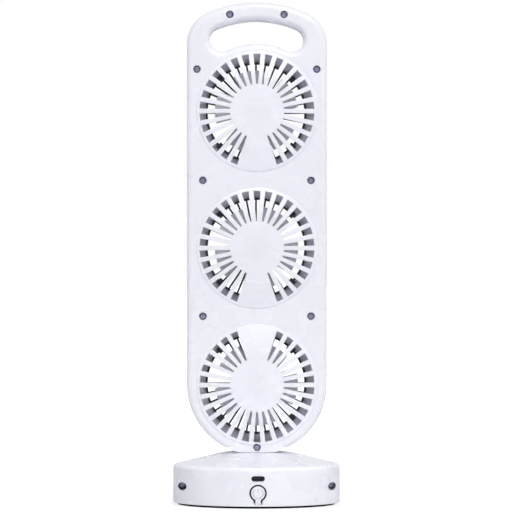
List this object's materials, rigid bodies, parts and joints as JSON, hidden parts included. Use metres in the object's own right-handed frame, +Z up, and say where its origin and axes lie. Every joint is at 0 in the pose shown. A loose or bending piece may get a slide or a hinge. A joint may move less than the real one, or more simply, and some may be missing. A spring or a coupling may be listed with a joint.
{
  "type": "portable camping fan",
  "caption": "Rechargeable tower fan with round impellers in a slim housing, a carry handle and a round base with a charging socket and push button.",
  "frame": {"origin": "middle of the underside of the rubber foot, on the surface that the fan stands on", "axes": "+Z up; +Y the way the air is blown; the screws, air inlets, charging socket and button face -Y"},
  "size_m": [0.12, 0.12, 0.36],
  "materials": {
    "housing": "fine satin, moulded",
    "button": null,
    "guard": "satin, moulded",
    "impeller": "smooth, moulded",
    "screws": "zinc plated, turned, cross recess",
    "base_plate": "fine satin, moulded",
    "foot": "soft, matt",
    "tray": "moulded",
    "cell_wrap": "shrink wrap",
    "nickel": "nickel strip",
    "board": "black solder mask on glass fibre",
    "socket_steel": "rolled sheet",
    "black_plastic": "moulded",
    "motor_steel": "drawn sheet, zinc plated",
    "magnet": "sintered ferrite",
    "armature": "laminated steel with copper windings",
    "bracket": "stamped sheet",
    "lead": "insulated wire"
  },
  "bodies": {
    "base": {"base_rear_shell": "housing", "base_front_shell": "housing", "base_screws": "screws", "base_plate": "base_plate", "plate_screws": "screws", "rubber_foot": "foot", "battery_tray": "tray", "battery_cells": "cell_wrap", "cell_straps": "nickel", "circuit_board": "board", "board_screws": "screws", "usb_c_shell": "socket_steel", "usb_c_insert": "black_plastic", "power_switch": "black_plastic", "board_lead": "lead", "battery_leads": "lead"},
    "tower": {"tower_rear_shell": "housing", "tower_front_shell": "housing", "tower_screws": "screws", "motor_screws": "screws", "neck": "housing", "motor_leads": "lead", "neck_lead": "lead", "front_guard_top": "guard", "motor_can_top": "motor_steel", "motor_cap_top": "black_plastic", "motor_magnets_top": "magnet", "motor_bracket_top": "bracket", "front_guard_middle": "guard", "motor_can_middle": "motor_steel", "motor_cap_middle": "black_plastic", "motor_magnets_middle": "magnet", "motor_bracket_middle": "bracket", "front_guard_bottom": "guard", "motor_can_bottom": "motor_steel", "motor_cap_bottom": "black_plastic", "motor_magnets_bottom": "magnet", "motor_bracket_bottom": "bracket"},
    "impeller_top": {"impeller_top": "impeller", "motor_rotor_top": "armature"},
    "impeller_middle": {"impeller_middle": "impeller", "motor_rotor_middle": "armature"},
    "impeller_bottom": {"impeller_bottom": "impeller", "motor_rotor_bottom": "armature"},
    "button": {"power_button": "button"},
    "plunger": {"switch_plunger": "black_plastic"}
  },
  "joints": [
    {"name": "tower_swivel", "type": "hinge", "parent": "base", "child": "tower", "pos_m": [0, 0, 0.0353], "axis": [0, 0, 1], "range_deg": [-45, 45]},
    {"name": "impeller_top_spin", "type": "hinge", "parent": "tower", "child": "impeller_top", "pos_m": [0, 0, 0.282], "axis": [0, 1, 0], "continuous": true},
    {"name": "impeller_middle_spin", "type": "hinge", "parent": "tower", "child": "impeller_middle", "pos_m": [0, 0, 0.184], "axis": [0, 1, 0], "continuous": true},
    {"name": "impeller_bottom_spin", "type": "hinge", "parent": "tower", "child": "impeller_bottom", "pos_m": [0, 0, 0.086], "axis": [0, 1, 0], "continuous": true},
    {"name": "button_press", "type": "slide", "parent": "base", "child": "button", "axis": [0, 1, 0], "range_m": [0, 0.00025], "stiffness_N_per_m": 1500},
    {"name": "plunger_press", "type": "slide", "parent": "base", "child": "plunger", "axis": [0, 1, 0], "range_m": [0, 0.00025]}
  ],
  "couplings": [
    {"joint": "plunger_press", "follows": "button_press", "ratio": 1}
  ]
}
